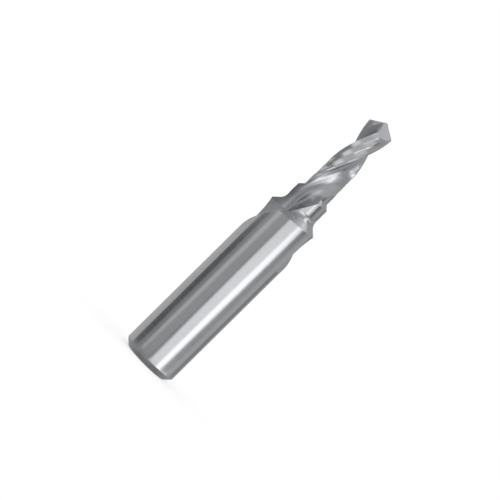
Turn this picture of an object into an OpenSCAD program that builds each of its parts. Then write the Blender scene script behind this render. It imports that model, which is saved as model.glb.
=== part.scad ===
// Stepped centre drill with two right-hand helical flutes, ground from one bar.
// It stands on the shank end: the tool axis is Z and the point looks up.

/* [Shank] */
// diameter of the plain shank
shank_d = 20; // [12:0.5:32]
// length of the plain shank up to the end of the flutes
plain_len = 50.9; // [40:0.1:80]
// size of the 45 degree chamfer at the shank end
end_chamfer = 2.1; // [0.5:0.1:3]

/* [Steps] */
// length of the full diameter that carries the flute run-out
runout_len = 15.9; // [10:0.1:24]
// diameter of the middle step
middle_d = 13; // [11:0.1:15]
// length from the shoulder corner to the corner of the middle step
middle_len = 9.1; // [7.5:0.1:16]
// angle of the shoulder face against the axis
shoulder_angle = 50; // [40:1:65]
// radius of the fillet at the foot of the shoulder
shoulder_fillet = 4.1; // [1:0.1:5]
// angle of the chamfer between middle step and pilot against the axis
pilot_step_angle = 45; // [35:1:60]
// how far the shoulder falls from its cutting edge to the heel
shoulder_drop = 1.4; // [0.2:0.1:2.2]
// how far the pilot step falls from its cutting edge to the heel
pilot_step_drop = 0.3; // [0.1:0.05:0.6]

/* [Pilot] */
// diameter of the pilot
pilot_d = 10; // [8:0.1:10.5]
// length from the middle step corner to the outer corners of the lips
pilot_len = 30.7; // [20:0.1:45]
// width of the guiding margin behind each cutting edge
margin_w = 0.75; // [0.4:0.05:1.5]
// depth of the body clearance behind the margin
clearance_depth = 0.15; // [0.05:0.05:0.4]
// number of helical facets ground side by side on a land behind its margin
clearance_facets = 3; // [2:1:4]

/* [Flutes] */
// axial length of one full turn of the flutes
lead = 68.2; // [50:0.2:110]
// turn of the cutting edges about the axis, seen at the outer corners
lip_turn = 350; // [0:1:360]
// radius of the core left between the flutes, in tenths of the pilot radius
core_share = 3.8; // [3:0.1:4.5]
// curve of the flute floor in the run-out, 1 is a straight ramp
runout_curve = 1.5; // [1:0.1:2]

/* [Point] */
// full angle of the point
point_angle = 118; // [90:1:140]
// width of the primary flank behind each lip
flank_w = 0.9; // [0.5:0.1:1.5]
// clearance angle of the primary flank
primary_relief = 10; // [6:1:14]
// clearance angle of the secondary flank
secondary_relief = 40; // [30:1:45]
// half length of the chisel edge left by the thinning
chisel_half = 0.4; // [0.25:0.05:0.8]
// slope of the thinning notch against the axis
notch_angle = 35; // [25:1:45]

/* [Hidden] */
$fn = 128;

shank_r = shank_d / 2;
middle_r = middle_d / 2;
pilot_r = pilot_d / 2;
// the fluted head is ground a little under the shank
head_under = 0.02;
head_r = shank_r - head_under;
// the head reaches this far into the plain shank
head_root = 2;
shoulder_z = plain_len + runout_len;
middle_z = shoulder_z + middle_len;
corner_z = middle_z + pilot_len;
point_h = pilot_r / tan(point_angle / 2);
tip_z = corner_z + point_h;
// stock above the tip that the flank planes cut away
tip_stock = 1.5;
turn_rate = 360 / lead;
// angles of the narrowed flute near its end, in the flute frame
end_lip_angle = 82;
end_heel_angle = 113.5;
end_mid_angle = 98;
// share of the run-out over which the round end of the flute closes
close_share = 0.17;
close_len = runout_len * close_share;
close_z = plain_len + close_len;
// the flute closes to this share of its circle, so that it keeps a width
close_limit = 0.99;
narrowing_curve = 1.3;
// share of the fall behind an edge that is used up at the margin
margin_share = 0.95;
// angle taken by the little wall between margin and body clearance
margin_wall = 1.5;
// length over which the body clearance fades in
clearance_fade = 1.5;
// the clearance starts this far above the pilot step
clearance_start = 3.6;
// length over which the fall behind the pilot step fades out
step_fade = 3;
// size of the blocks that cut the point
block = 40;

// counts of the surface grid
flute_steps = 20;
land_steps = 12;
fillet_steps = 6;
close_steps = 5;
bisect_rounds = 24;
// a flute curve is searched up to this place, where 1 is its last control point
curve_reach = 6;

// flute curves in pilot radii, from the core out over the edge of the land
core_angle = 48;
core_point = core_share / 10 * [cos(core_angle), sin(core_angle)];
rake_curve = [core_point, [0.782, -0.218], [1.327, 0], [1.941, 0.748]];
heel_curve = [core_point, [-0.015, 0.51], [-0.502, 1.316], [-0.829, 1.911]];

function mix(a, b, share) = a + (b - a) * share;

function clamp01(x) = min(1, max(0, x));

// point of a cubic curve, carried on straight beyond its end
function curve_at(c, t) =
    t <= 1
    ? pow(1 - t, 3) * c[0] + 3 * pow(1 - t, 2) * t * c[1]
        + 3 * (1 - t) * t * t * c[2] + t * t * t * c[3]
    : c[3] + 3 * (t - 1) * (c[3] - c[2]);

// place on a flute curve where it crosses a given radius, by halving
function cross_t(c, r, low, high, rounds) =
    rounds <= 0
    ? (low + high) / 2
    : norm(curve_at(c, (low + high) / 2)) * pilot_r < r
        ? cross_t(c, r, (low + high) / 2, high, rounds - 1)
        : cross_t(c, r, low, (low + high) / 2, rounds - 1);

function angle_of(p) = atan2(p[1], p[0]);

// share of the run-out at a height, 0 is the full flute and 1 its end
function runout(z) =
    pow(clamp01((shoulder_z - z) / runout_len), runout_curve);

// share by which the flute has narrowed from the side of its cutting edge
function narrowing(z) =
    pow(clamp01((shoulder_z - z) / (shoulder_z - close_z)), narrowing_curve);

// share by which both edges have run together in the round end
function closing(z) =
    let (q = min(close_limit, clamp01((close_z - z) / close_len)))
    1 - sqrt(1 - q * q);

// turn of the flute frame at a height
function turn_at(z) = lip_turn - (corner_z - z) * turn_rate;

// one point of the flute wall: side curve, place on it, run-out target angle
function flute_polar(c, t, end_angle, r, z) =
    let (
        p = curve_at(c, t),
        narrowed = mix(angle_of(p), end_angle, narrowing(z))
    )
    [
        mix(norm(p) * pilot_r, r, runout(z)),
        mix(narrowed, end_mid_angle, closing(z)) + turn_at(z)
    ];

function to_xyz(polar, z) =
    [polar[0] * cos(polar[1]), polar[0] * sin(polar[1]), z];

// share by which the body clearance has set in above the pilot step
clearance_z0 = middle_z + (middle_r - pilot_r) / tan(pilot_step_angle) + clearance_start;

function clearance(z) = clamp01((z - clearance_z0) / clearance_fade);

// radius of a land at a height, where v is 0 at its heel and 1 at its margin
function land_radius(r, z, v, width) =
    let (
        facet = width / clearance_facets,
        off_middle = ((v * clearance_facets) % 1 - 0.5) * facet,
        flat_r = (r - clearance_depth) * cos(facet / 2) / cos(off_middle)
    )
    mix(r, flat_r, clearance(z));

// half of one row: flute from its cutting edge over the core to the next heel,
// then the land from that heel to its own cutting edge
function half_row(z, r, drop, side) =
    let (
        t_rake = cross_t(rake_curve, r, 0, curve_reach, bisect_rounds),
        t_heel = cross_t(heel_curve, r, 0, curve_reach, bisect_rounds),
        half = flute_steps / 2,
        low_z = z - drop,
        heel_polar = flute_polar(heel_curve, t_heel, end_heel_angle, r, low_z),
        edge_polar = flute_polar(rake_curve, t_rake, end_lip_angle, r, z),
        heel_angle = heel_polar[1],
        edge_angle = edge_polar[1] + 180,
        margin_angle = edge_angle - margin_w / r * 180 / PI,
        wall_angle = margin_angle - margin_wall,
        width = wall_angle - heel_angle,
        heel_r = land_radius(r, z, 0, width)
    )
    [
        for (i = [1:flute_steps])
            let (
                u = i / flute_steps,
                rake_side = i < half,
                t = rake_side ? t_rake * (1 - i / half) : t_heel * (i / half - 1),
                pz = z - drop * u,
                end_angle = mix(end_lip_angle, end_heel_angle, u),
                c = rake_side ? rake_curve : heel_curve,
                p = i == flute_steps ? [heel_r, heel_angle] : flute_polar(c, t, end_angle, r, pz)
            )
            to_xyz([p[0], p[1] + side], pz),
        for (k = [1:land_steps])
            let (v = k / land_steps)
            to_xyz(
                [land_radius(r, z, v, width), mix(heel_angle, wall_angle, v) + side],
                z - drop * (1 - v * margin_share)
            ),
        to_xyz([r, margin_angle + side], z - drop * (1 - margin_share)),
        to_xyz([r, edge_angle + side], z)
    ];

function full_row(row) = concat(half_row(row[0], row[1], row[2], 0), half_row(row[0], row[1], row[2], 180));

// evenly spaced rows between two heights on one radius, drop changing along
function plain_rows(z0, z1, r, count, drop0, drop1) =
    [for (i = [1:count]) [mix(z0, z1, i / count), r, mix(drop0, drop1, i / count)]];

// shoulder: straight face, then a fillet that ends on the middle step
fillet_reach = shoulder_fillet * tan(shoulder_angle / 2);
shoulder_foot_z = shoulder_z + (head_r - middle_r) / tan(shoulder_angle);
fillet_z1 = shoulder_foot_z + fillet_reach;
fillet_rows = [
    for (i = [0:fillet_steps])
        let (a = shoulder_angle * (1 - i / fillet_steps))
        [
            fillet_z1 - shoulder_fillet * sin(a),
            middle_r + shoulder_fillet * (1 - cos(a)),
            shoulder_drop
        ]
];
face_mid = mix([shoulder_z, head_r], [fillet_rows[0][0], fillet_rows[0][1]], 0.5);
pilot_z0 = middle_z + (middle_r - pilot_r) / tan(pilot_step_angle);
middle_gap = middle_z - fillet_z1;

// rows of the round flute end, closer together where it closes
end_rows = [
    for (i = [0:close_steps])
        [close_z - close_len * sin(90 * (1 - i / close_steps)), head_r, 0]
];

rows = concat(
    [[plain_len - head_root, head_r, 0]],
    end_rows,
    plain_rows(close_z, shoulder_z, head_r, 13, 0, shoulder_drop),
    [[face_mid[0], face_mid[1], shoulder_drop]],
    fillet_rows,
    plain_rows(fillet_z1, middle_z, middle_r, 4, shoulder_drop, pilot_step_drop),
    [[mix(middle_z, pilot_z0, 0.5), mix(middle_r, pilot_r, 0.5), pilot_step_drop]],
    [[pilot_z0, pilot_r, pilot_step_drop]],
    plain_rows(pilot_z0, pilot_z0 + step_fade, pilot_r, 3, pilot_step_drop, 0),
    plain_rows(pilot_z0 + step_fade, tip_z + tip_stock, pilot_r, 26, 0, 0)
);

// fluted bar with steps and run-out, still with a flat top
module fluted_bar() {
    rings = [for (row = rows) full_row(row)];
    count = len(rings[0]);
    levels = len(rings);
    points = concat(
        [for (ring = rings) each ring],
        [[0, 0, rows[0][0]], [0, 0, rows[levels - 1][0]]]
    );
    base = levels * count;
    sides = [
        for (i = [0:levels - 2], j = [0:count - 1])
            let (
                a = i * count + j,
                b = i * count + (j + 1) % count,
                c = a + count,
                d = b + count
            )
            each [[a, c, b], [b, c, d]]
    ];
    floor_faces = [for (j = [0:count - 1]) [base, j, (j + 1) % count]];
    top = (levels - 1) * count;
    top_faces = [for (j = [0:count - 1]) [base + 1, top + (j + 1) % count, top + j]];
    polyhedron(points = points, faces = concat(sides, floor_faces, top_faces), convexity = 12);
}

// block whose lower face is one flank plane, seen from the lip corner
module flank_block(angle, back, extra) {
    translate([pilot_r, 0, corner_z])
        rotate([0, 90 - point_angle / 2, 0])
            rotate([angle, 0, 0])
                translate([0, -back, 0])
                    rotate([extra, 0, 0])
                        translate([-block / 2, -block / 2, 0])
                            cube([block, block, block / 2]);
}

// notch that thins the web and straightens the inner end of a lip
module thinning_block() {
    translate([chisel_half * 0.8, chisel_half * 0.6, tip_z])
        rotate([0, -notch_angle, 0])
            translate([0, 0, -block / 5])
                cube([block / 5, block / 5, block / 4]);
}

module point_cutters() {
    for (side = [0, 180]) {
        rotate([0, 0, lip_turn + side]) {
            flank_block(primary_relief, 0, 0);
            flank_block(primary_relief, flank_w, secondary_relief - primary_relief);
            thinning_block();
        }
    }
}

module plain_shank() {
    rotate_extrude()
        polygon([
            [0, 0],
            [shank_r - end_chamfer, 0],
            [shank_r, end_chamfer],
            [shank_r, plain_len],
            [0, plain_len]
        ]);
}

// whole tool, one solid
module center_drill() {
    color([0.62, 0.63, 0.65]) {
        union() {
            plain_shank();
            difference() {
                fluted_bar();
                point_cutters();
            }
        }
    }
}

center_drill();
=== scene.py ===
"""Looks of a stepped centre drill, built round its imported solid.

The drill stands on its shank end with the tool axis along Z. Lengths are in
millimetres and angles in degrees, unless a docstring says metres, and turn to
metres and radians where a mesh is written.
"""

import logging
import math
from collections.abc import Iterable
from dataclasses import dataclass, field
from enum import Enum

import bmesh
import bpy
from mathutils import Matrix, Vector


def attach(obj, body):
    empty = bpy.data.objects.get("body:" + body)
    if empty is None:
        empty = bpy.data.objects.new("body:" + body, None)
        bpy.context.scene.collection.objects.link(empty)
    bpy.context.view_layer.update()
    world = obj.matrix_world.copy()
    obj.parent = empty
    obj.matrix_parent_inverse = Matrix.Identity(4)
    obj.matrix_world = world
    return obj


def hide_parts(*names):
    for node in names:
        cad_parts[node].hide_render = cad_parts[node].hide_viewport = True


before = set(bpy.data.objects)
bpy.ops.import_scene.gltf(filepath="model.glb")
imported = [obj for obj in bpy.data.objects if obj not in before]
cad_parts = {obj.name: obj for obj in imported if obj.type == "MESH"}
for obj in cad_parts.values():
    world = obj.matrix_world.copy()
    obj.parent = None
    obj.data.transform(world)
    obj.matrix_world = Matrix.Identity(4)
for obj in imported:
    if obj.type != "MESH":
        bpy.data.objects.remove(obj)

LOG = logging.getLogger("centre_drill")
MM = 0.001
WHITE = (1.0, 1.0, 1.0, 1.0)
# The drill has two flutes and two lips, half a turn apart.
SIDES = (0.0, 180.0)
# Heights and radii that differ by less than this, in their own unit, are the same.
SAME_LEVEL = 1e-6
# Points that lie closer than this many metres become one.
SAME_POINT = 1e-8
# Slack in metres for the points of the shank, which a spin lays down.
SPIN_SLACK = 1e-7
# A flute curve is searched from its core to this place on it, by halving.
CURVE_REACH = 6.0
HALVINGS = 30

Colour = tuple[float, float, float, float]
Pair = tuple[float, float]
Curve = tuple[Pair, Pair, Pair, Pair]
Row = tuple[float, float, float]


class Surface(Enum):
    """Material slots of the drill, in the order they stand on its mesh."""

    ROUND = 0
    FLUTE = 1
    FACET = 2
    END = 3


def clamp01(value: float) -> float:
    """Keeps a value between 0 and 1.

    Args:
        value: Any number.

    Returns:
        The nearest number in that range.
    """
    return min(1.0, max(0.0, value))


def mix(first: float, second: float, share: float) -> float:
    """Goes from one number towards another.

    Args:
        first: The number at share 0.
        second: The number at share 1.
        share: How far to go.

    Returns:
        The number in between.
    """
    return first + (second - first) * share


def turned(angle: float, axis: str) -> Matrix:
    """Turns about an axis.

    Args:
        angle: Angle in degrees.
        axis: X, Y or Z.

    Returns:
        The rotation matrix.
    """
    return Matrix.Rotation(math.radians(angle), 4, axis)


def vertex_rank(part: bmesh.types.BMEdge | bmesh.types.BMFace, span: int) -> int:
    """Ranks an edge or a face by its three lowest vertices.

    Args:
        part: The edge or face.
        span: Number of vertices in the mesh.

    Returns:
        A number that no other one has.
    """
    rank = 0
    for index in sorted(v.index for v in part.verts)[:3]:
        rank = rank * span + index
    return rank


def hex_linear(code: str) -> Colour:
    """Turns an sRGB hex colour into the linear colour a shader wants.

    Args:
        code: Six hex digits, with or without a leading hash.

    Returns:
        Red, green, blue and an alpha of 1.
    """
    digits = code.lstrip("#")
    channels = [int(digits[i : i + 2], 16) / 255.0 for i in (0, 2, 4)]
    linear = [c / 12.92 if c <= 0.04045 else ((c + 0.055) / 1.055) ** 2.4 for c in channels]
    return (linear[0], linear[1], linear[2], 1.0)


def add_node(
    tree: bpy.types.NodeTree,
    kind: str,
    settings: dict[str, object] | None = None,
    inputs: dict[str | int, object] | None = None,
) -> bpy.types.Node:
    """Adds one shader node, sets it and links it.

    Args:
        tree: The node tree that takes the node.
        kind: Blender's name of the node type.
        settings: Attributes of the node itself.
        inputs: Per input socket, a constant or the output socket to link.

    Returns:
        The new node.
    """
    node = tree.nodes.new(kind)
    for name, value in (settings or {}).items():
        setattr(node, name, value)
    for name, value in (inputs or {}).items():
        if isinstance(value, bpy.types.NodeSocket):
            tree.links.new(value, node.inputs[name])
        else:
            node.inputs[name].default_value = value
    return node


def fill_ramp(node: bpy.types.Node, stops: list[tuple[float, Colour]]) -> None:
    """Writes the stops of a colour ramp.

    Args:
        node: The colour ramp node.
        stops: Position and colour of each stop, in rising order.
    """
    elements = node.color_ramp.elements
    while len(elements) > 1:
        elements.remove(elements[-1])
    elements[0].position, elements[0].color = stops[0]
    for position, colour in stops[1:]:
        elements.new(position).color = colour


def seen_direct(tree: bpy.types.NodeTree) -> bpy.types.NodeSocket:
    """Tells where the camera, a mirroring or a clear surface sees a thing.

    Args:
        tree: The node tree that takes the nodes.

    Returns:
        A socket that is 1 for such rays and 0 for the light of the room.
    """
    ray = add_node(tree, "ShaderNodeLightPath")
    seen = ray.outputs["Is Camera Ray"]
    for name in ("Is Glossy Ray", "Is Transmission Ray"):
        largest = add_node(
            tree, "ShaderNodeMath", {"operation": "MAXIMUM"}, {0: seen, 1: ray.outputs[name]}
        )
        seen = largest.outputs["Value"]
    return seen


def bare_material(name: str) -> bpy.types.Material:
    """Makes a material whose node tree is still empty.

    Args:
        name: Name of the material.

    Returns:
        The material.
    """
    material = bpy.data.materials.new(name)
    material.use_nodes = True
    material.node_tree.nodes.clear()
    return material


def object_from(bm: bmesh.types.BMesh, name: str) -> bpy.types.Object:
    """Writes a mesh into a new object of the scene and frees its source.

    Args:
        bm: The finished mesh.
        name: Name of the object and of its mesh.

    Returns:
        The object.
    """
    mesh = bpy.data.meshes.new(name)
    bm.to_mesh(mesh)
    bm.free()
    made = bpy.data.objects.new(name, mesh)
    bpy.context.scene.collection.objects.link(made)
    return made


@dataclass(frozen=True)
class GroundSteel:
    """Uncoated tool steel, ground bright: a base for all four surfaces.

    Args:
        name: Name of the material.
        bright: Colour of clean ground metal.
        dull: Colour where the grind is a shade duller.
        rough_low: Roughness of the finest ground patches.
        rough_high: Roughness of the coarsest ground patches.
        lines: Scale of the grinding lines along each axis of the pattern.
        height: Depth of the grinding lines in metres.
        use_uv: Whether the lines follow the piece's own UV map.
        cloud_scale: Scale of the soft patches.
        cloud_share: Share of the patches in the tone, the rest is lines.
        tones: Pattern values between which colour and roughness change.
    """

    name: str
    bright: str
    dull: str
    rough_low: float
    rough_high: float
    lines: tuple[float, float, float]
    height: float
    use_uv: bool = False
    cloud_scale: float = 90.0
    cloud_share: float = 0.45
    tones: Pair = (0.3, 0.7)

    @staticmethod
    def noise(
        tree: bpy.types.NodeTree,
        vector: bpy.types.NodeSocket,
        scale: float,
        detail: float,
        roughness: float,
    ) -> bpy.types.NodeSocket:
        """Adds one noise pattern.

        Args:
            tree: The node tree that takes it.
            vector: Socket of the place in the pattern.
            scale: Scale of the noise.
            detail: Octaves of the noise.
            roughness: Weight of the finer octaves.

        Returns:
            The socket with the noise.
        """
        inputs = {"Vector": vector, "Scale": scale, "Detail": detail, "Roughness": roughness}
        node = add_node(tree, "ShaderNodeTexNoise", {"noise_dimensions": "3D"}, inputs)
        return node.outputs["Fac"]

    def build(self) -> bpy.types.Material:
        """Builds the material's nodes.

        Returns:
            The finished material.
        """
        material = bare_material(self.name)
        tree = material.node_tree
        place = add_node(tree, "ShaderNodeTexCoord")
        source = place.outputs["UV" if self.use_uv else "Object"]
        stretched = add_node(
            tree, "ShaderNodeMapping", inputs={"Vector": source, "Scale": self.lines}
        )
        lines = self.noise(
            tree, stretched.outputs["Vector"], scale=1.0, detail=3.0, roughness=0.55
        )
        clouds = self.noise(
            tree, place.outputs["Object"], scale=self.cloud_scale, detail=2.0, roughness=0.5
        )
        tone = add_node(
            tree,
            "ShaderNodeMix",
            {"data_type": "FLOAT"},
            {0: self.cloud_share, 2: lines, 3: clouds},
        )
        low, high = self.tones
        colour = add_node(tree, "ShaderNodeValToRGB", inputs={"Fac": tone.outputs[0]})
        fill_ramp(colour, [(low, hex_linear(self.dull)), (high, hex_linear(self.bright))])
        rough = add_node(
            tree,
            "ShaderNodeMapRange",
            inputs={
                "Value": tone.outputs[0],
                "From Min": low,
                "From Max": high,
                "To Min": self.rough_low,
                "To Max": self.rough_high,
            },
        )
        bump = add_node(
            tree,
            "ShaderNodeBump",
            inputs={"Height": lines, "Distance": self.height, "Strength": 1.0},
        )
        shader = add_node(
            tree,
            "ShaderNodeBsdfPrincipled",
            inputs={
                "Base Color": colour.outputs["Color"],
                "Metallic": 1.0,
                "Roughness": rough.outputs["Result"],
                "Normal": bump.outputs["Normal"],
            },
        )
        add_node(tree, "ShaderNodeOutputMaterial", inputs={"Surface": shader.outputs["BSDF"]})
        return material


FINISHES: dict[Surface, GroundSteel] = {
    # Cylindrically ground tool steel: mirror bright, with hair lines round the
    # tool. Real lines are 0.02 mm apart; they are drawn wider to show.
    Surface.ROUND: GroundSteel(
        "cylindrically_ground_steel", "#D6D7DA", "#CECFD2", 0.16, 0.22, (60.0, 60.0, 2200.0), 2e-7
    ),
    # Flutes ground with a form wheel along the helix, a shade greyer.
    Surface.FLUTE: GroundSteel(
        "flute_ground_steel", "#CDCED2", "#C2C3C7", 0.2, 0.3, (9000.0, 160.0, 1.0), 1e-6, True
    ),
    # Facets ground flat with a cup wheel: fine straight lines.
    Surface.FACET: GroundSteel(
        "facet_ground_steel", "#CBCCCF", "#BFC0C4", 0.22, 0.34, (900.0, 6000.0, 900.0), 4e-7
    ),
    # Shank end, turned and plain ground, duller than the wall; its darker colour is also painted
    # shade for the dark band at the chamfer beside the floor.
    Surface.END: GroundSteel(
        "plain_ground_end_steel_painted_shade", "#BFC0C3", "#A5A6AA", 0.26, 0.4, (900.0, 900.0, 5200.0), 8e-7
    ),
}


@dataclass(frozen=True)
class FluteForm:
    """Cross-section and winding of the two flutes, with the CAD's values.

    The flute frame turns with the helix; its zero direction points at the lip.
    Each side of a flute is a cubic curve in pilot radii, from the core out over
    the edge of the land.

    Args:
        pilot_r: Radius of the pilot, the unit of the curves.
        lead: Length of one full turn of the flutes.
        lip_turn: Turn of the lips about the axis.
        corner_z: Height of the outer corners of the lips.
        shoulder_z: Height of the corner of the shoulder.
        plain_len: Height where the flutes end in the shank.
        close_share: Share of the run-out over which the flute's end closes.
        close_limit: Share of its circle to which that end closes.
        runout_curve: Curve of the floor in the run-out, 1 is a straight ramp.
        narrowing_curve: Curve of the narrowing edges, 1 is a straight one.
        end_lip_angle: Angle of the cutting edge where the flute is narrowest.
        end_heel_angle: Angle of the heel where the flute is narrowest.
        end_mid_angle: Angle at which both run together.
        core_share: Radius of the core in pilot radii.
        core_angle: Angle of the point where both sides meet the core.
        rake_rest: Points of the cutting side past the core.
        heel_rest: Points of the heel side past the core.
    """

    pilot_r: float = 5.0
    lead: float = 68.2
    lip_turn: float = 350.0
    corner_z: float = 106.6
    shoulder_z: float = 66.8
    plain_len: float = 50.9
    close_share: float = 0.17
    close_limit: float = 0.99
    runout_curve: float = 1.5
    narrowing_curve: float = 1.3
    end_lip_angle: float = 82.0
    end_heel_angle: float = 113.5
    end_mid_angle: float = 98.0
    core_share: float = 0.38
    core_angle: float = 48.0
    rake_rest: tuple[Pair, Pair, Pair] = ((0.782, -0.218), (1.327, 0.0), (1.941, 0.748))
    heel_rest: tuple[Pair, Pair, Pair] = ((-0.015, 0.51), (-0.502, 1.316), (-0.829, 1.911))

    @property
    def core(self) -> Pair:
        """Point of the flute floor nearest the axis, in pilot radii."""
        angle = math.radians(self.core_angle)
        return (self.core_share * math.cos(angle), self.core_share * math.sin(angle))

    @property
    def rake(self) -> Curve:
        """Side of the flute that ends in the cutting edge."""
        return (self.core, *self.rake_rest)

    @property
    def heel(self) -> Curve:
        """Side of the flute that ends in the heel of the next land."""
        return (self.core, *self.heel_rest)

    @property
    def close_len(self) -> float:
        """Length over which the round end of the flute closes."""
        return (self.shoulder_z - self.plain_len) * self.close_share

    @property
    def close_z(self) -> float:
        """Height where the flute starts to close."""
        return self.plain_len + self.close_len

    def curve_at(self, curve: Curve, t: float) -> Pair:
        """Radius and angle of a point on a flute curve.

        Args:
            curve: Four control points in pilot radii.
            t: Place on the curve; beyond 1 it runs on straight.

        Returns:
            Radius in millimetres and angle in degrees.
        """
        if t <= 1.0:
            weights = ((1 - t) ** 3, 3 * (1 - t) ** 2 * t, 3 * (1 - t) * t * t, t**3)
            x = sum(w * p[0] for w, p in zip(weights, curve))
            y = sum(w * p[1] for w, p in zip(weights, curve))
        else:
            x = curve[3][0] + 3 * (t - 1) * (curve[3][0] - curve[2][0])
            y = curve[3][1] + 3 * (t - 1) * (curve[3][1] - curve[2][1])
        return math.hypot(x, y) * self.pilot_r, math.degrees(math.atan2(y, x))

    def cross_place(self, curve: Curve, radius: float) -> float:
        """Finds where a flute curve crosses a radius, by halving.

        Args:
            curve: Four control points in pilot radii.
            radius: Radius in millimetres.

        Returns:
            The place on the curve.
        """
        low, high = 0.0, CURVE_REACH
        for _ in range(HALVINGS):
            middle = (low + high) / 2
            if self.curve_at(curve, middle)[0] < radius:
                low = middle
            else:
                high = middle
        return (low + high) / 2

    def turn_at(self, z: float) -> float:
        """Turn of the flute frame.

        Args:
            z: Height in millimetres.

        Returns:
            The turn in degrees.
        """
        return self.lip_turn - (self.corner_z - z) * 360.0 / self.lead

    def runout(self, z: float) -> float:
        """Share by which the flute floor has risen, 1 at its end.

        Args:
            z: Height in millimetres.

        Returns:
            A share between 0 and 1.
        """
        risen = clamp01((self.shoulder_z - z) / (self.shoulder_z - self.plain_len))
        return risen**self.runout_curve

    def narrowing(self, z: float) -> float:
        """Share by which the flute has narrowed from its cutting edge.

        Args:
            z: Height in millimetres.

        Returns:
            A share between 0 and 1.
        """
        passed = clamp01((self.shoulder_z - z) / (self.shoulder_z - self.close_z))
        return passed**self.narrowing_curve

    def closing(self, z: float) -> float:
        """Share by which both edges have run together in the round end.

        Args:
            z: Height in millimetres.

        Returns:
            A share between 0 and 1.
        """
        q = min(self.close_limit, clamp01((self.close_z - z) / self.close_len))
        return 1.0 - math.sqrt(1.0 - q * q)

    def wall_point(
        self, curve: Curve, t: float, end_angle: float, radius: float, z: float
    ) -> Pair:
        """Radius and angle of one point of the flute wall.

        Args:
            curve: The side of the flute that the point is on.
            t: Place on that curve.
            end_angle: Angle that the point goes to in the run-out.
            radius: Radius of the land at this height.
            z: Height of the point.

        Returns:
            Radius in millimetres and angle in degrees.
        """
        own_radius, own_angle = self.curve_at(curve, t)
        narrowed = mix(own_angle, end_angle, self.narrowing(z))
        angle = mix(narrowed, self.end_mid_angle, self.closing(z)) + self.turn_at(z)
        return mix(own_radius, radius, self.runout(z)), angle


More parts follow.
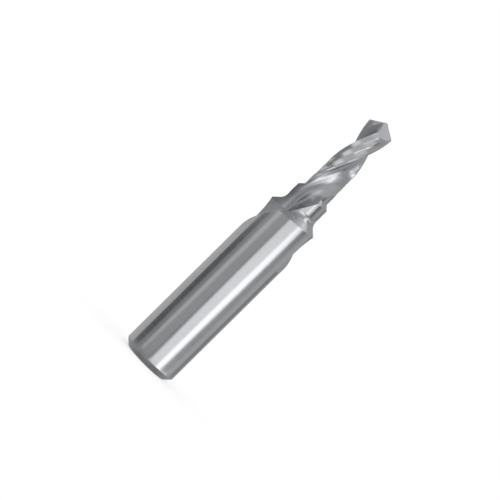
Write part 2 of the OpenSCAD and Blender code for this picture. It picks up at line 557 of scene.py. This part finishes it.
@dataclass(frozen=True)
class FlutedHead:
    """Fluted part of the drill: run-out, shoulder, middle step, pilot and point.

    A drop is the fall of a step from the cutting edge to the heel of its land.

    Args:
        form: Cross-section and winding of the flutes.
        head_r: Radius of the head below its shoulder.
        middle_r: Radius of the middle step.
        root: Length of plain bar below the run-out that the head takes over.
        shoulder_angle: Angle of the shoulder against the axis.
        shoulder_fillet: Radius between the shoulder and the middle step.
        shoulder_drop: Drop of the shoulder.
        middle_len: Length from the shoulder's to the middle step's corner.
        pilot_step_angle: Angle of the step below the pilot.
        pilot_step_drop: Drop of that step.
        step_fade: Length over which this drop fades out above the step.
        margin_w: Width of the margin behind a cutting edge.
        margin_wall: Angle taken by the wall between margin and clearance.
        margin_share: Share of a drop that is used up at the margin.
        clearance_depth: Depth of the body clearance.
        clearance_facets: Helical facets side by side on a land.
        clearance_start: Height of the clearance above the pilot step.
        clearance_fade: Length over which the clearance sets in.
        point_angle: Angle of the point.
        flank_w: Width of the primary flank.
        primary_relief: Relief angle of the primary flank.
        secondary_relief: Relief angle of the secondary flank.
        chisel_half: Half the length of the chisel edge.
        notch_angle: Slope of the web thinning against the axis.
        notch_start: Inner corner of the thinning, in units of chisel_half.
        notch_w: Width of the block that thins the web.
        notch_h: Height of that block.
        tip_stock: Stock above the apex, which the flanks cut away.
        root_rows: Rows of points along the root.
        arc_rows: Rows along the round flute end and along the fillet.
        slope_rows: Rows along the shoulder and along the pilot step.
        row_step: Distance between rows on a cylinder.
        flute_steps: Steps across a flute.
        land_steps: Steps across a land.
        uv_width: Width that the UV map gives to one turn.
    """

    form: FluteForm = field(default_factory=FluteForm)
    head_r: float = 10.0
    middle_r: float = 6.5
    root: float = 9.0
    shoulder_angle: float = 50.0
    shoulder_fillet: float = 4.1
    shoulder_drop: float = 1.4
    middle_len: float = 9.1
    pilot_step_angle: float = 45.0
    pilot_step_drop: float = 0.3
    step_fade: float = 3.0
    margin_w: float = 0.75
    margin_wall: float = 1.5
    margin_share: float = 0.95
    clearance_depth: float = 0.15
    clearance_facets: int = 3
    clearance_start: float = 3.6
    clearance_fade: float = 1.5
    point_angle: float = 118.0
    flank_w: float = 0.9
    primary_relief: float = 10.0
    secondary_relief: float = 40.0
    chisel_half: float = 0.4
    notch_angle: float = 35.0
    notch_start: Pair = (0.8, 0.6)
    notch_w: float = 8.0
    notch_h: float = 10.0
    tip_stock: float = 1.5
    root_rows: int = 16
    arc_rows: int = 14
    slope_rows: int = 6
    row_step: float = 0.3
    flute_steps: int = 44
    land_steps: int = 60
    uv_width: float = 60.0

    @property
    def foot_z(self) -> float:
        """Height of the lowest row, where the plain shank ends."""
        return self.form.plain_len - self.root

    @property
    def middle_z(self) -> float:
        """Height of the corner of the middle step."""
        return self.form.shoulder_z + self.middle_len

    @property
    def pilot_z(self) -> float:
        """Height where the pilot starts above its chamfer."""
        slope = math.tan(math.radians(self.pilot_step_angle))
        return self.middle_z + (self.middle_r - self.form.pilot_r) / slope

    @property
    def tip_z(self) -> float:
        """Height of the point's apex."""
        slope = math.tan(math.radians(self.point_angle / 2))
        return self.form.corner_z + self.form.pilot_r / slope

    @property
    def half_columns(self) -> int:
        """Points of half a row: flute, land with both ends, margin and edge."""
        return (self.flute_steps - 1) + (self.land_steps + 1) + 2

    def clearance(self, z: float) -> float:
        """Share by which the body clearance has set in.

        Args:
            z: Height in millimetres.

        Returns:
            A share between 0 and 1.
        """
        return clamp01((z - self.pilot_z - self.clearance_start) / self.clearance_fade)

    def land_radius(self, radius: float, z: float, v: float, width: float) -> float:
        """Radius on a land whose clearance is ground as helical facets.

        Args:
            radius: Full radius of the row in millimetres.
            z: Height of the row.
            v: Place across the land, 0 at its heel and 1 at its margin.
            width: Angle of the land in degrees.

        Returns:
            The radius in millimetres.
        """
        facet = math.radians(width / self.clearance_facets)
        off_middle = ((v * self.clearance_facets) % 1.0 - 0.5) * facet
        flat_r = (radius - self.clearance_depth) * math.cos(facet / 2) / math.cos(off_middle)
        return mix(radius, flat_r, self.clearance(z))

    def even_rows(
        self, z0: float, z1: float, radius: float, drop0: float, drop1: float
    ) -> list[Row]:
        """Evenly spaced rows on one radius, without the first height.

        Args:
            z0: Lower height.
            z1: Upper height.
            radius: Radius of the land.
            drop0: Fall from edge to heel at the lower height.
            drop1: Fall from edge to heel at the upper height.

        Returns:
            Height, radius and fall of each row.
        """
        count = max(1, round((z1 - z0) / self.row_step))
        shares = [i / count for i in range(1, count + 1)]
        return [(mix(z0, z1, s), radius, mix(drop0, drop1, s)) for s in shares]

    def rows(self) -> list[Row]:
        """Height, radius and fall of every row of the head.

        Returns:
            The rows from the shank up to above the point.
        """
        form = self.form
        drop = self.shoulder_drop
        step_drop = self.pilot_step_drop
        start = [
            (form.plain_len - self.root * (1 - i / self.root_rows), self.head_r, 0.0)
            for i in range(self.root_rows)
        ]
        left = [1 - i / self.arc_rows for i in range(self.arc_rows + 1)]
        closing = [
            (form.close_z - form.close_len * math.sin(math.pi / 2 * s), self.head_r, 0.0)
            for s in left
        ]
        slope = math.radians(self.shoulder_angle)
        foot = form.shoulder_z + (self.head_r - self.middle_r) / math.tan(slope)
        fillet_top = foot + self.shoulder_fillet * math.tan(slope / 2)
        fillet = [
            (
                fillet_top - self.shoulder_fillet * math.sin(slope * s),
                self.middle_r + self.shoulder_fillet * (1 - math.cos(slope * s)),
                drop,
            )
            for s in left
        ]
        shares = [i / self.slope_rows for i in range(1, self.slope_rows + 1)]
        face_z, face_r, _ = fillet[0]
        face = [
            (mix(form.shoulder_z, face_z, s), mix(self.head_r, face_r, s), drop)
            for s in shares[:-1]
        ]
        step = [
            (mix(self.middle_z, self.pilot_z, s), mix(self.middle_r, form.pilot_r, s), step_drop)
            for s in shares
        ]
        fade_z = self.pilot_z + self.step_fade
        stock_z = self.tip_z + self.tip_stock
        return [
            *start,
            *closing,
            *self.even_rows(form.close_z, form.shoulder_z, self.head_r, 0.0, drop),
            *face,
            *fillet,
            *self.even_rows(fillet_top, self.middle_z, self.middle_r, drop, step_drop),
            *step,
            *self.even_rows(self.pilot_z, fade_z, form.pilot_r, step_drop, 0.0),
            *self.even_rows(fade_z, stock_z, form.pilot_r, 0.0, 0.0),
        ]

    def half_ring(self, row: Row, side: float) -> list[Vector]:
        """Points of half a row: a flute, then the land behind it.

        Args:
            row: Height, radius and fall of the row.
            side: 0 or 180 degrees, for the first or second flute.

        Returns:
            The points in millimetres.
        """
        z, radius, drop = row
        form = self.form
        lip_end, heel_end = form.end_lip_angle, form.end_heel_angle
        t_rake = form.cross_place(form.rake, radius)
        t_heel = form.cross_place(form.heel, radius)
        heel_angle = form.wall_point(form.heel, t_heel, heel_end, radius, z - drop)[1]
        edge_angle = form.wall_point(form.rake, t_rake, lip_end, radius, z)[1] + 180.0
        margin_angle = edge_angle - math.degrees(self.margin_w / radius)
        wall_angle = margin_angle - self.margin_wall
        width = wall_angle - heel_angle
        half = self.flute_steps / 2
        ring: list[tuple[float, float, float]] = []
        for i in range(1, self.flute_steps):
            u = i / self.flute_steps
            on_rake = i < half
            curve = form.rake if on_rake else form.heel
            t = t_rake * (1 - i / half) if on_rake else t_heel * (i / half - 1)
            own_z = z - drop * u
            own_r, own_angle = form.wall_point(curve, t, mix(lip_end, heel_end, u), radius, own_z)
            ring.append((own_r, own_angle, own_z))
        for k in range(self.land_steps + 1):
            v = k / self.land_steps
            land_r = self.land_radius(radius, z, v, width)
            land_z = z - drop * (1 - v * self.margin_share)
            ring.append((land_r, mix(heel_angle, wall_angle, v), land_z))
        ring.append((radius, margin_angle, z - drop * (1 - self.margin_share)))
        ring.append((radius, edge_angle, z))
        # Below the run-out the points fan out evenly, to meet those of the shank.
        fan = clamp01((form.plain_len - z) / self.root)
        if fan > 0.0:
            count = len(ring)
            centre = self.flute_steps // 2
            first = ring[centre][1] - 180.0 * centre / count
            ring = [
                (r, mix(a, first + 180.0 * j / count, fan), h) for j, (r, a, h) in enumerate(ring)
            ]
        return [
            Vector((r * math.cos(math.radians(a + side)), r * math.sin(math.radians(a + side)), h))
            for r, a, h in ring
        ]

    def mark_faces(
        self,
        bm: bmesh.types.BMesh,
        spot: dict[bmesh.types.BMVert, tuple[int, int]],
        rows: list[Row],
    ) -> None:
        """Gives each face of the flat grid its surface and its UV map.

        Args:
            bm: The mesh that holds the grid.
            spot: Row and column of each of the grid's points.
            rows: Height, radius and fall of every row.
        """
        half = self.half_columns
        columns = 2 * half
        shoulder = self.form.shoulder_z
        uv_layer = bm.loops.layers.uv.verify()
        for face in dict.fromkeys(face for vert in spot for face in vert.link_faces):
            places = [spot[v] for v in face.verts]
            i = min(p[0] for p in places)
            j = min(p[1] for p in places) % half
            above = rows[min(i + 1, len(rows) - 1)]
            cut_in = rows[i][0] > self.form.plain_len - SAME_LEVEL
            in_flute = cut_in and (j <= self.flute_steps - 2 or j == half - 1)
            stepped = abs(rows[i][1] - above[1]) > SAME_LEVEL
            surface = Surface.FLUTE if in_flute else Surface.FACET if stepped else Surface.ROUND
            face.material_index = surface.value
            for loop in face.loops:
                row, column = spot[loop.vert]
                across = column / columns * self.uv_width * MM
                loop[uv_layer].uv = (across, (rows[row][0] - shoulder) * MM)

    def shape_bar(self, bm: bmesh.types.BMesh) -> list[bmesh.types.BMEdge]:
        """Winds a flat grid into the fluted bar, open below and closed above.

        Args:
            bm: The mesh that takes the bar.

        Returns:
            The edges of the lowest row.
        """
        rows = self.rows()
        rings = [[point for side in SIDES for point in self.half_ring(row, side)] for row in rows]
        columns = 2 * self.half_columns
        levels = len(rings)
        made = bmesh.ops.create_grid(bm, x_segments=columns, y_segments=levels - 1, size=1.0)
        spot = {
            vert: (
                round((vert.co.y + 1) / 2 * (levels - 1)),
                round((vert.co.x + 1) / 2 * columns),
            )
            for vert in made["verts"]
        }
        self.mark_faces(bm, spot, rows)
        for vert, (i, j) in spot.items():
            vert.co = rings[i][j % columns] * MM
        bmesh.ops.remove_doubles(bm, verts=made["verts"], dist=SAME_POINT)
        bmesh.ops.recalc_face_normals(bm, faces=bm.faces)
        top = (self.tip_z + self.tip_stock) * MM - SAME_LEVEL
        rim = [e for e in bm.edges if e.is_boundary and min(v.co.z for v in e.verts) > top]
        bmesh.ops.edgeloop_fill(bm, edges=rim, mat_nr=Surface.FACET.value)
        low = self.foot_z * MM
        foot = {v for v in made["verts"] if v.is_valid and abs(v.co.z - low) < SAME_LEVEL}
        return [e for e in bm.edges if e.is_boundary and foot.issuperset(e.verts)]

    def flank_planes(self) -> list[tuple[Vector, Vector]]:
        """Point and outward normal of each flank plane of the point.

        Returns:
            Primary and secondary plane of both lips, in metres.
        """
        planes: list[tuple[Vector, Vector]] = []
        for side in SIDES:
            primary = (
                turned(self.form.lip_turn + side, "Z")
                @ Matrix.Translation((self.form.pilot_r, 0.0, self.form.corner_z))
                @ turned(90 - self.point_angle / 2, "Y")
                @ turned(self.primary_relief, "X")
            )
            secondary = (
                primary
                @ Matrix.Translation((0.0, -self.flank_w, 0.0))
                @ turned(self.secondary_relief - self.primary_relief, "X")
            )
            for place in (primary, secondary):
                planes.append((place.translation * MM, place.to_3x3() @ Vector((0, 0, 1))))
        return planes

    def grind_point(self, bm: bmesh.types.BMesh) -> None:
        """Cuts the point to its four flank planes and closes each cut.

        Args:
            bm: The mesh of the drill.
        """
        for place, normal in self.flank_planes():
            cut = bmesh.ops.bisect_plane(
                bm,
                geom=bm.verts[:] + bm.edges[:] + bm.faces[:],
                dist=SAME_POINT,
                plane_co=place,
                plane_no=normal,
                clear_outer=True,
            )
            edges = [g for g in cut["geom_cut"] if isinstance(g, bmesh.types.BMEdge)]
            filled = bmesh.ops.edgeloop_fill(bm, edges=edges, mat_nr=Surface.FACET.value)
            LOG.info("flank cut with %d edges, %d faces", len(edges), len(filled["faces"]))

    def notch_cutter(self, side: float) -> bpy.types.Object:
        """Makes the block that thins the web on one side of the point.

        Args:
            side: 0 or 180 degrees.

        Returns:
            The cutter object.
        """
        half_w = self.notch_w / 2
        start_x, start_y = (self.chisel_half * share for share in self.notch_start)
        place = (
            turned(self.form.lip_turn + side, "Z")
            @ Matrix.Translation((start_x, start_y, self.tip_z))
            @ turned(-self.notch_angle, "Y")
            @ Matrix.Translation((half_w, half_w, self.notch_h / 2 - self.notch_w))
            @ Matrix.Diagonal((self.notch_w, self.notch_w, self.notch_h, 1.0))
        )
        bm = bmesh.new()
        bmesh.ops.create_cube(bm, size=1.0, matrix=Matrix.Scale(MM, 4) @ place)
        for face in bm.faces:
            face.material_index = Surface.FACET.value
        return object_from(bm, "thinning_notch")


@dataclass(frozen=True)
class PlainShank:
    """Plain cylinder of the drill with its chamfered end.

    Args:
        top: Height where the fluted head takes over.
        segments: Steps round the axis, as many as the head has columns.
        radius: Radius of the shank.
        chamfer: Width and height of the end chamfer.
        corner_round: Radius that breaks both edges of the chamfer.
        round_steps: Steps of each of these roundings.
        wall_rows: Rows of faces up the wall.
    """

    top: float
    segments: int
    radius: float = 10.0
    chamfer: float = 2.1
    corner_round: float = 0.3
    round_steps: int = 4
    wall_rows: int = 24

    def profile(self) -> list[tuple[float, float, Surface]]:
        """Outline from the axis up the wall: radius, height and surface.

        Returns:
            The outline points, each with the surface that leads to it.
        """
        soft = self.corner_round
        angle = math.pi / 4
        reach = soft * math.tan(angle / 2)
        inner = self.radius - self.chamfer - reach
        base = self.chamfer + reach
        shares = [k / self.round_steps for k in range(self.round_steps + 1)]
        points = [(0.0, 0.0, Surface.END), (inner, 0.0, Surface.END)]
        points += [
            (inner + soft * math.sin(angle * s), soft - soft * math.cos(angle * s), Surface.END)
            for s in shares[1:]
        ]
        points += [
            (
                self.radius - soft + soft * math.cos(angle * (1 - s)),
                base - soft * math.sin(angle * (1 - s)),
                Surface.END,
            )
            for s in shares
        ]
        rises = [k / self.wall_rows for k in range(1, self.wall_rows + 1)]
        points += [(self.radius, mix(base, self.top, s), Surface.ROUND) for s in rises]
        return points

    def turn(self, bm: bmesh.types.BMesh) -> list[bmesh.types.BMEdge]:
        """Spins the outline into the shank, open above.

        Args:
            bm: The empty mesh that takes the shank.

        Returns:
            The edges of its top ring.
        """
        points = self.profile()
        verts = [bm.verts.new((r * MM, 0.0, z * MM)) for r, z, _ in points]
        edges = [bm.edges.new((a, b)) for a, b in zip(verts, verts[1:])]
        bmesh.ops.spin(
            bm,
            geom=verts + edges,
            cent=(0.0, 0.0, 0.0),
            axis=(0.0, 0.0, 1.0),
            angle=math.tau,
            steps=self.segments,
            use_merge=True,
        )
        bmesh.ops.remove_doubles(bm, verts=bm.verts[:], dist=SPIN_SLACK)
        # Without this, edges and faces stand in an order that changes from run to run.
        bm.verts.index_update()
        span = len(bm.verts)
        for parts in (bm.edges, bm.faces):
            parts.sort(key=lambda part: vertex_rank(part, span))
        end_z = max(z for _, z, surface in points if surface is Surface.END) * MM + SPIN_SLACK
        for face in bm.faces:
            at_end = max(v.co.z for v in face.verts) < end_z
            face.material_index = (Surface.END if at_end else Surface.ROUND).value
        return [e for e in bm.edges if e.is_boundary]


@dataclass(frozen=True)
class CentreDrill:
    """The whole drill, one ground piece.

    Args:
        head: The fluted part, which the shank is made to meet.
        sharp_angle: Angle past which an edge stays crisp.
    """

    head: FlutedHead = field(default_factory=FlutedHead)
    sharp_angle: float = 22.0

    def build(self) -> bpy.types.Object:
        """Builds the drill's mesh.

        Returns:
            The drill, with its place in its mesh.
        """
        bm = bmesh.new()
        lower = PlainShank(self.head.foot_z, 2 * self.head.half_columns).turn(bm)
        upper = self.head.shape_bar(bm)
        joined = bmesh.ops.bridge_loops(bm, edges=lower + upper)
        for face in joined["faces"]:
            face.material_index = Surface.ROUND.value
        self.head.grind_point(bm)
        bmesh.ops.recalc_face_normals(bm, faces=bm.faces)
        drill = object_from(bm, "ground_drill")
        self.thin_web(drill)
        self.crease(drill)
        return drill

    def thin_web(self, drill: bpy.types.Object) -> None:
        """Cuts both thinning notches into the web at the point.

        Args:
            drill: The drill's object.
        """
        cutters = [self.head.notch_cutter(side) for side in SIDES]
        # Empty slots keep the surface numbers of all faces through the cut.
        for piece in (drill, *cutters):
            for _ in Surface:
                piece.data.materials.append(None)
        for cutter in cutters:
            modifier = drill.modifiers.new("thinning", "BOOLEAN")
            modifier.operation = "DIFFERENCE"
            modifier.solver = "EXACT"
            modifier.object = cutter
        bpy.context.view_layer.update()
        graph = bpy.context.evaluated_depsgraph_get()
        cut_mesh = bpy.data.meshes.new_from_object(drill.evaluated_get(graph))
        drill.modifiers.clear()
        drill.data = cut_mesh
        cut_mesh.name = "ground_drill"
        for cutter in cutters:
            bpy.data.objects.remove(cutter)

    def crease(self, drill: bpy.types.Object) -> None:
        """Shades the drill smooth between its real edges.

        Args:
            drill: The drill's object.
        """
        bm = bmesh.new()
        bm.from_mesh(drill.data)
        limit = math.radians(self.sharp_angle)
        for face in bm.faces:
            face.smooth = True
        for edge in bm.edges:
            edge.smooth = not (edge.is_manifold and edge.calc_face_angle(0.0) > limit)
        open_edges = sum(1 for e in bm.edges if not e.is_manifold)
        LOG.info("drill mesh: %d faces, %d open edges", len(bm.faces), open_edges)
        bm.to_mesh(drill.data)
        bm.free()

    def dress(self, drill: bpy.types.Object) -> None:
        """Gives each surface of the drill its ground finish.

        Args:
            drill: The drill's object.
        """
        for surface, finish in FINISHES.items():
            drill.data.materials[surface.value] = finish.build()


@dataclass(frozen=True)
class Card:
    """One card or bright strip of the studio, seen only in the metal.

    Args:
        name: Name of the card.
        azimuth: Direction in degrees from the camera's side, right is positive.
        elevation: Direction in degrees above the horizon.
        spread: Angle in degrees that the card covers sideways.
        rise: Angle in degrees that the card covers upwards.
        level: Brightness in the metal, 1 is white paper.
        roll: Turn of the card about its own middle, right end up.
        nearness: Share of the usual distance at which the card stands.
        lift: Height in metres by which the card stands above the usual centre.
    """

    name: str
    azimuth: float
    elevation: float
    spread: float
    rise: float
    level: float
    roll: float = 0.0
    nearness: float = 1.0
    lift: float = 0.0


@dataclass(frozen=True)
class Studio:
    """White room with a floor, the camera and the cards that the metal mirrors.

    A bright ground drill looks like what it mirrors, so the cards make its
    bands and lights. Their places and levels were chosen to match the
    photograph from this camera. A later card stands before an earlier one.

    Args:
        camera_distance: Distance of the camera in front of the axis.
        camera_height: Height of the camera.
        aim: Point that the camera looks at.
        axis_angle: Angle in the picture between the tool axis and its width.
        frame_width: Width that the picture covers at the camera's distance.
        sensor: Width of the camera's sensor.
        clip: Nearest and farthest distance that the camera sees, in metres.
        card_distance: Usual distance of a card in metres.
        card_gap: Share of its distance by which each card stands nearer.
        card_centre: Height in metres that the cards stand round.
        room_level: Strength of the room's even light.
        floor_radius: Radius of the floor in metres.
        floor_sides: Corners of the floor.
        floor_grey: Colour of the floor.
        floor_glow: Light that brings the floor to white where it is seen.
        cards: The cards, each with its direction, size and level.
    """

    camera_distance: float = 662.0
    camera_height: float = 69.5
    aim: tuple[float, float, float] = (-2.1, 0.0, 49.55)
    axis_angle: float = 44.65
    frame_width: float = 161.45
    sensor: float = 36.0
    clip: Pair = (0.01, 20.0)
    card_distance: float = 0.3
    card_gap: float = 0.0027
    card_centre: float = 0.07
    room_level: float = 0.55
    floor_radius: float = 6.0
    floor_sides: int = 96
    floor_grey: float = 0.8
    floor_glow: float = 0.58
    cards: tuple[Card, ...] = (
        # Walls and ceiling, with two flags for the dark band of the shank.
        Card("left_wall", -51.0, 0.0, 100.0, 130.0, 0.56, nearness=2.4),
        Card("rear_left_wall", -141.0, 0.0, 80.0, 130.0, 0.52, nearness=2.4),
        Card("left_shade", -64.0, -7.0, 18.0, 15.0, 0.26, nearness=2.0),
        Card("left_flag", -87.0, -7.0, 30.0, 15.0, 0.1, nearness=2.0),
        Card("rear_right_wall", 141.0, 0.0, 78.0, 130.0, 0.45),
        Card("right_wall", 82.0, 0.0, 42.0, 130.0, 0.38),
        Card("key_wall", 47.0, 0.0, 28.0, 130.0, 0.38),
        Card("ceiling", 0.0, 90.0, 70.0, 70.0, 0.34),
        # Broad greys in front, below and behind, mostly for the flutes.
        Card("under_card", 180.0, -72.0, 44.0, 44.0, 0.26),
        Card("upper_front_card", 16.0, 44.0, 36.0, 46.0, 0.42),
        Card("upper_pale_card", 16.0, 11.5, 36.0, 23.0, 0.66),
        Card("lower_front_card", 16.0, -54.0, 36.0, 62.0, 0.6),
        Card("left_low_shade", -74.0, -30.0, 50.0, 20.0, 0.32),
        Card("front_low_shade", -28.0, -31.0, 46.0, 20.0, 0.24),
        Card("rear_right_shade", 131.0, -8.0, 26.0, 26.0, 0.26),
        Card("rear_left_shade", -126.0, 7.0, 44.0, 20.0, 0.36),
        Card("rear_left_light", -107.0, 1.0, 24.0, 5.0, 0.9),
        Card("right_card", 104.0, -12.0, 26.0, 20.0, 0.48),
        # The key: the white band of the shank and of the middle step.
        Card("key_edge", 46.0, -12.0, 33.0, 30.0, 0.95, -22.0),
        Card("key_strip", 47.0, -12.0, 21.0, 29.0, 1.6, -22.0),
        Card("key_upper", 58.0, 1.0, 13.0, 4.0, 0.8),
        Card("key_foot", 68.0, -31.5, 58.0, 14.0, 1.7),
        Card("step_shade", 75.0, 2.0, 20.0, 7.0, 0.12),
        # High strips for the shoulder's fillet and the lower edge of the pilot.
        Card("fillet_shade", 92.0, 38.0, 14.0, 30.0, 0.16),
        Card("high_strip", 81.0, 57.0, 58.0, 11.0, 2.2, 47.0),
        Card("high_strip_end", 128.0, 64.0, 16.0, 9.0, 1.6),
        Card("low_strip", 68.0, 27.0, 9.0, 9.0, 2.0),
        Card("edge_strip", 89.0, 29.0, 18.0, 7.0, 1.7),
        Card("roof_card", 105.0, 72.0, 44.0, 30.0, 0.66),
        # Near cards, which only the part of the drill at their height mirrors.
        Card("front_card", -18.0, -20.0, 36.0, 46.0, 0.38, nearness=0.4),
        Card("front_line", -4.0, -20.0, 7.0, 46.0, 0.28, nearness=0.4),
        Card("left_light", -57.0, 14.0, 26.0, 16.0, 0.9, nearness=0.4),
        Card("key_top", 20.0, 16.0, 34.0, 16.0, 1.7, nearness=0.19),
        Card("tip_shade", -110.0, 0.0, 74.0, 46.0, 0.27, nearness=0.11, lift=0.031),
    )

    def place_camera(self) -> None:
        """Puts the camera where the photograph was taken from."""
        data = bpy.data.cameras.new("camera")
        data.sensor_width = self.sensor
        data.lens = self.sensor * self.camera_distance / self.frame_width
        data.clip_start, data.clip_end = self.clip
        camera = bpy.data.objects.new("camera", data)
        place = Vector((0.0, -self.camera_distance, self.camera_height)) * MM
        back = (place - Vector(self.aim) * MM).normalized()
        side = Vector((0.0, 0.0, 1.0)).cross(back).normalized()
        rise = back.cross(side).normalized()
        turn = math.radians(self.axis_angle)
        right = rise * math.cos(turn) + side * math.sin(turn)
        up = rise * math.sin(turn) - side * math.cos(turn)
        matrix = Matrix((right, up, back)).transposed().to_4x4()
        camera.matrix_world = Matrix.Translation(place) @ matrix
        bpy.context.scene.collection.objects.link(camera)
        bpy.context.scene.camera = camera

    def light_world(self) -> None:
        """Builds the even white room that lights the drill."""
        world = bpy.data.worlds.new("white_room")
        world.use_nodes = True
        tree = world.node_tree
        tree.nodes.clear()
        room, white = (
            add_node(tree, "ShaderNodeBackground", inputs={"Color": WHITE, "Strength": strength})
            for strength in (self.room_level, 1.0)
        )
        both = add_node(
            tree,
            "ShaderNodeMixShader",
            inputs={0: seen_direct(tree), 1: room.outputs[0], 2: white.outputs[0]},
        )
        add_node(tree, "ShaderNodeOutputWorld", inputs={"Surface": both.outputs[0]})
        bpy.context.scene.world = world

    def stand_card(self, card: Card, order: int) -> None:
        """Stands one card round the drill, where only the metal mirrors it.

        Args:
            card: The card's name, direction, size and level.
            order: Its place in the row; a later card stands before the others.
        """
        distance = self.card_distance * card.nearness * (1.0 - self.card_gap * order)
        width = 2.0 * distance * math.tan(math.radians(card.spread / 2))
        height = 2.0 * distance * math.tan(math.radians(card.rise / 2))
        place = (
            Matrix.Translation((0.0, 0.0, self.card_centre + card.lift))
            @ turned(card.azimuth, "Z")
            @ turned(-card.elevation, "X")
            @ Matrix.Translation((0.0, -distance, 0.0))
            @ turned(90.0, "X")
            @ turned(card.roll, "Z")
            @ Matrix.Diagonal((width, height, 1.0, 1.0))
        )
        bm = bmesh.new()
        bmesh.ops.create_grid(bm, x_segments=1, y_segments=1, size=0.5, matrix=place)
        panel = object_from(bm, card.name)
        material = bare_material(f"even_{card.name}")
        tree = material.node_tree
        # A card is a plain even shade in the metal, whatever stands before it.
        shade = add_node(
            tree, "ShaderNodeEmission", inputs={"Color": WHITE, "Strength": card.level}
        )
        add_node(tree, "ShaderNodeOutputMaterial", inputs={"Surface": shade.outputs[0]})
        panel.data.materials.append(material)
        panel.visible_camera = False
        panel.visible_diffuse = False
        panel.visible_shadow = False

    def lay_floor(self) -> None:
        """Lays the white floor that keeps the drill's shadow."""
        bm = bmesh.new()
        bmesh.ops.create_circle(
            bm, cap_ends=True, segments=self.floor_sides, radius=self.floor_radius
        )
        floor = object_from(bm, "floor")
        material = bare_material("matt_white_sweep")
        tree = material.node_tree
        grey = self.floor_grey
        matt = add_node(tree, "ShaderNodeBsdfDiffuse", inputs={"Color": (grey, grey, grey, 1.0)})
        factors = {0: seen_direct(tree), 1: self.floor_glow}
        level = add_node(tree, "ShaderNodeMath", {"operation": "MULTIPLY"}, factors)
        light = {"Color": WHITE, "Strength": level.outputs["Value"]}
        glow = add_node(tree, "ShaderNodeEmission", inputs=light)
        both = add_node(
            tree, "ShaderNodeAddShader", inputs={0: matt.outputs[0], 1: glow.outputs[0]}
        )
        add_node(tree, "ShaderNodeOutputMaterial", inputs={"Surface": both.outputs[0]})
        floor.data.materials.append(material)
        floor.visible_glossy = False

    def build(self) -> None:
        """Sets up camera, room, cards and floor."""
        self.place_camera()
        self.light_world()
        for order, card in enumerate(self.cards):
            self.stand_card(card, order)
        self.lay_floor()
        bpy.context.scene.view_settings.view_transform = "Standard"


def main() -> None:
    """Builds and dresses the drill, then the studio round it."""
    logging.basicConfig(level=logging.INFO, format="%(message)s")
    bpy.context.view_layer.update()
    maker = CentreDrill()
    drill = maker.build()
    maker.dress(drill)
    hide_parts("center_drill")
    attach(drill, "root")
    LOG.info("ground drill in place")
    Studio().build()


if __name__ == "__main__":
    main()
